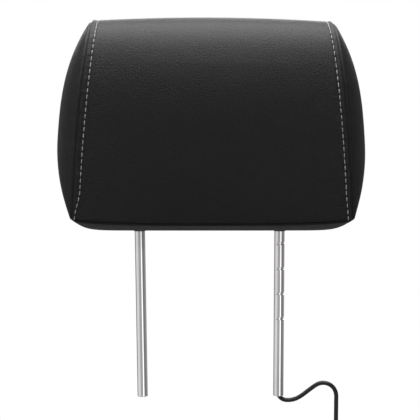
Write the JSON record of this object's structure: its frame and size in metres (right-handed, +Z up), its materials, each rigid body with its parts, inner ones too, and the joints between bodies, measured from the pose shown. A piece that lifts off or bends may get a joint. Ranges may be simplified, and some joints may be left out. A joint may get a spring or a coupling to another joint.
{
  "type": "car headrest with screen",
  "caption": "Car headrest: a leather-covered pillow on two sliding steel posts, with a screen and buttons in its rear face and a cable out of one post.",
  "frame": {"origin": "between the lower ends of the two posts and level with them, on the centre plane of the pillow", "axes": "+Z up along the posts, -Y towards the head side, +Y towards the screen side, +X to the right seen from the head side"},
  "size_m": [0.2954, 0.1198, 0.5311],
  "materials": {
    "foam": "open-cell polyurethane foam",
    "leather": "black leatherette, fine grain, satin",
    "tub_plastic": "moulded, matt",
    "bracket_steel": "zinc-plated sheet",
    "screw_steel": "zinc plated",
    "trim_plastic": "moulded, matt black",
    "bezel_plastic": "fine spark texture, black",
    "screen_glass": "gloss black, screen off",
    "panel_frame": "stamped frame",
    "circuit_board": "green solder mask",
    "ir_window": "dark red, glossy",
    "status_light": "blue light pipe",
    "post_steel": "bright plated steel tube",
    "carriage_steel": "phosphated steel",
    "cable_jacket": "black PVC jacket, satin",
    "tie_plastic": "black strap",
    "plug_rubber": "moulded, matt black",
    "plug_metal": "nickel plated",
    "button_plastic": "moulded, dark grey"
  },
  "bodies": {
    "headrest": {"foam_pad": "foam", "front_cover": "leather", "rear_cover": "leather", "bottom_cover": "leather", "left_gusset": "leather", "right_gusset": "leather", "core_tub": "tub_plastic", "post_rail": "bracket_steel", "rail_screw_1": "screw_steel", "rail_screw_2": "screw_steel", "rail_screw_3": "screw_steel", "rail_screw_4": "screw_steel", "left_slot_trim": "trim_plastic", "right_slot_trim": "trim_plastic", "screen_bezel": "bezel_plastic", "screen_glass": "screen_glass", "screen_panel": "panel_frame", "screen_bracket": "bracket_steel", "module_screw_1": "screw_steel", "module_screw_2": "screw_steel", "module_screw_3": "screw_steel", "module_screw_4": "screw_steel", "main_board": "circuit_board", "board_screw_1": "screw_steel", "board_screw_2": "screw_steel", "board_screw_3": "screw_steel", "board_screw_4": "screw_steel", "button_board": "circuit_board", "button_board_screw_1": "screw_steel", "button_board_screw_2": "screw_steel", "ir_window": "ir_window", "status_light": "status_light"},
    "left_post_set": {"left_post": "post_steel", "left_carriage": "carriage_steel", "left_clamp_nut": "carriage_steel", "left_clamp_screw": "screw_steel", "left_collar": "trim_plastic"},
    "right_post_set": {"right_post": "post_steel", "right_carriage": "carriage_steel", "right_clamp_nut": "carriage_steel", "right_clamp_screw": "screw_steel", "right_collar": "trim_plastic", "lead_in_post": "cable_jacket", "cable_free": "cable_jacket", "cable_hank": "cable_jacket", "cable_tail": "cable_jacket", "hank_tie": "tie_plastic", "cable_plug": "plug_rubber", "plug_tip": "plug_metal"},
    "power_key": {"power_button": "button_plastic"},
    "source_key": {"source_button": "button_plastic"},
    "menu_key": {"menu_button": "button_plastic"},
    "down_key": {"down_button": "button_plastic"},
    "up_key": {"up_button": "button_plastic"}
  },
  "joints": [
    {"name": "left_post_slide", "type": "slide", "parent": "headrest", "child": "left_post_set", "axis": [1, 0, 0], "range_m": [-0.018, 0.012]},
    {"name": "right_post_slide", "type": "slide", "parent": "headrest", "child": "right_post_set", "axis": [1, 0, 0], "range_m": [-0.012, 0.018]},
    {"name": "power_press", "type": "slide", "parent": "headrest", "child": "power_key", "axis": [0, -1, 0], "range_m": [0, 0.001], "stiffness_N_per_m": 300, "springref_m": -0.002},
    {"name": "source_press", "type": "slide", "parent": "headrest", "child": "source_key", "axis": [0, -1, 0], "range_m": [0, 0.001], "stiffness_N_per_m": 300, "springref_m": -0.002},
    {"name": "menu_press", "type": "slide", "parent": "headrest", "child": "menu_key", "axis": [0, -1, 0], "range_m": [0, 0.001], "stiffness_N_per_m": 300, "springref_m": -0.002},
    {"name": "down_press", "type": "slide", "parent": "headrest", "child": "down_key", "axis": [0, -1, 0], "range_m": [0, 0.001], "stiffness_N_per_m": 300, "springref_m": -0.002},
    {"name": "up_press", "type": "slide", "parent": "headrest", "child": "up_key", "axis": [0, -1, 0], "range_m": [0, 0.001], "stiffness_N_per_m": 300, "springref_m": -0.002}
  ]
}
